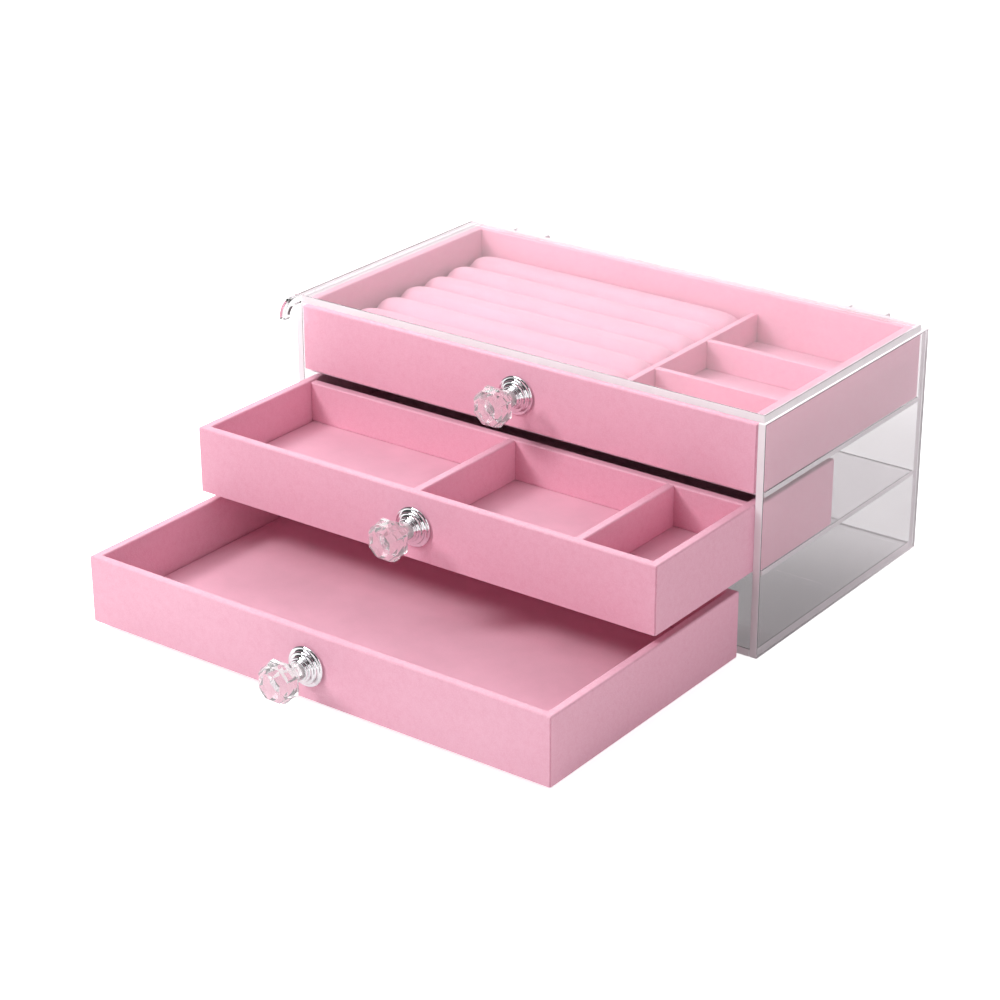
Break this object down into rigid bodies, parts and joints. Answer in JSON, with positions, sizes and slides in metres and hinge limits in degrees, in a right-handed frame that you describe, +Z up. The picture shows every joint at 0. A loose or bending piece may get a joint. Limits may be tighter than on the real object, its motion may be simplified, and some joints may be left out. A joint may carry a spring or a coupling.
{
  "type": "jewellery chest with drawers",
  "caption": "Clear acrylic jewellery chest with a hinged lid, pull-out padded pink drawers and faceted crystal knobs.",
  "frame": {"origin": "centre of the case underside", "axes": "+Z up, +X to the right of someone facing the drawers, -Y the way the drawers pull out"},
  "size_m": [0.236, 0.2885, 0.1046],
  "materials": {
    "clear_acrylic": "clear polished acrylic sheet, glued edge to face",
    "pink_leatherette": "pink fine-grained leatherette wrapped over stiff board",
    "pink_velvet": "pink short-pile velvet",
    "crystal": "clear faceted crystal",
    "chrome": "polished chrome plate on a turned rosette",
    "screw_steel": "zinc-plated countersunk machine screw"
  },
  "bodies": {
    "case": {"case_back_panel": "clear_acrylic", "case_base_panel": "clear_acrylic", "case_left_panel": "clear_acrylic", "case_lower_shelf": "clear_acrylic", "case_right_panel": "clear_acrylic", "case_upper_shelf": "clear_acrylic", "hinge_boss_left": "clear_acrylic", "hinge_boss_right": "clear_acrylic", "hinge_pin_left": "clear_acrylic", "hinge_pin_right": "clear_acrylic"},
    "lid": {"lid_knuckles_left": "clear_acrylic", "lid_knuckles_right": "clear_acrylic", "lid_lift_tab": "clear_acrylic", "lid_panel": "clear_acrylic"},
    "top_drawer": {"top_drawer_back_wall": "pink_leatherette", "top_drawer_base_board": "pink_leatherette", "top_drawer_floor_liner": "pink_velvet", "top_drawer_front_cross_divider": "pink_leatherette", "top_drawer_front_wall": "pink_leatherette", "top_drawer_knob_crystal": "crystal", "top_drawer_knob_rosette": "chrome", "top_drawer_knob_screw": "screw_steel", "top_drawer_left_wall": "pink_leatherette", "top_drawer_long_divider": "pink_leatherette", "top_drawer_rear_cross_divider": "pink_leatherette", "top_drawer_right_wall": "pink_leatherette", "top_drawer_ring_roll_pad": "pink_velvet"},
    "middle_drawer": {"middle_drawer_back_wall": "pink_leatherette", "middle_drawer_base_board": "pink_leatherette", "middle_drawer_cross_wall": "pink_leatherette", "middle_drawer_floor_liner": "pink_velvet", "middle_drawer_front_wall": "pink_leatherette", "middle_drawer_knob_crystal": "crystal", "middle_drawer_knob_rosette": "chrome", "middle_drawer_knob_screw": "screw_steel", "middle_drawer_left_divider": "pink_leatherette", "middle_drawer_left_wall": "pink_leatherette", "middle_drawer_right_divider": "pink_leatherette", "middle_drawer_right_wall": "pink_leatherette", "middle_drawer_tray_board": "pink_leatherette"},
    "bottom_drawer": {"bottom_drawer_back_wall": "pink_leatherette", "bottom_drawer_base_board": "pink_leatherette", "bottom_drawer_floor_liner": "pink_velvet", "bottom_drawer_front_wall": "pink_leatherette", "bottom_drawer_knob_crystal": "crystal", "bottom_drawer_knob_rosette": "chrome", "bottom_drawer_knob_screw": "screw_steel", "bottom_drawer_left_wall": "pink_leatherette", "bottom_drawer_right_wall": "pink_leatherette"}
  },
  "joints": [
    {"name": "lid_hinge", "type": "hinge", "parent": "case", "child": "lid", "pos_m": [0, 0.0625, 0.10285], "axis": [-1, 0, 0], "range_deg": [0, 100]},
    {"name": "top_drawer_slide", "type": "slide", "parent": "case", "child": "top_drawer", "axis": [0, -1, 0], "range_m": [0, 0.1355]},
    {"name": "middle_drawer_slide", "type": "slide", "parent": "case", "child": "middle_drawer", "axis": [0, -1, 0], "range_m": [-0.0685, 0.067]},
    {"name": "bottom_drawer_slide", "type": "slide", "parent": "case", "child": "bottom_drawer", "axis": [0, -1, 0], "range_m": [-0.1355, 0]}
  ]
}
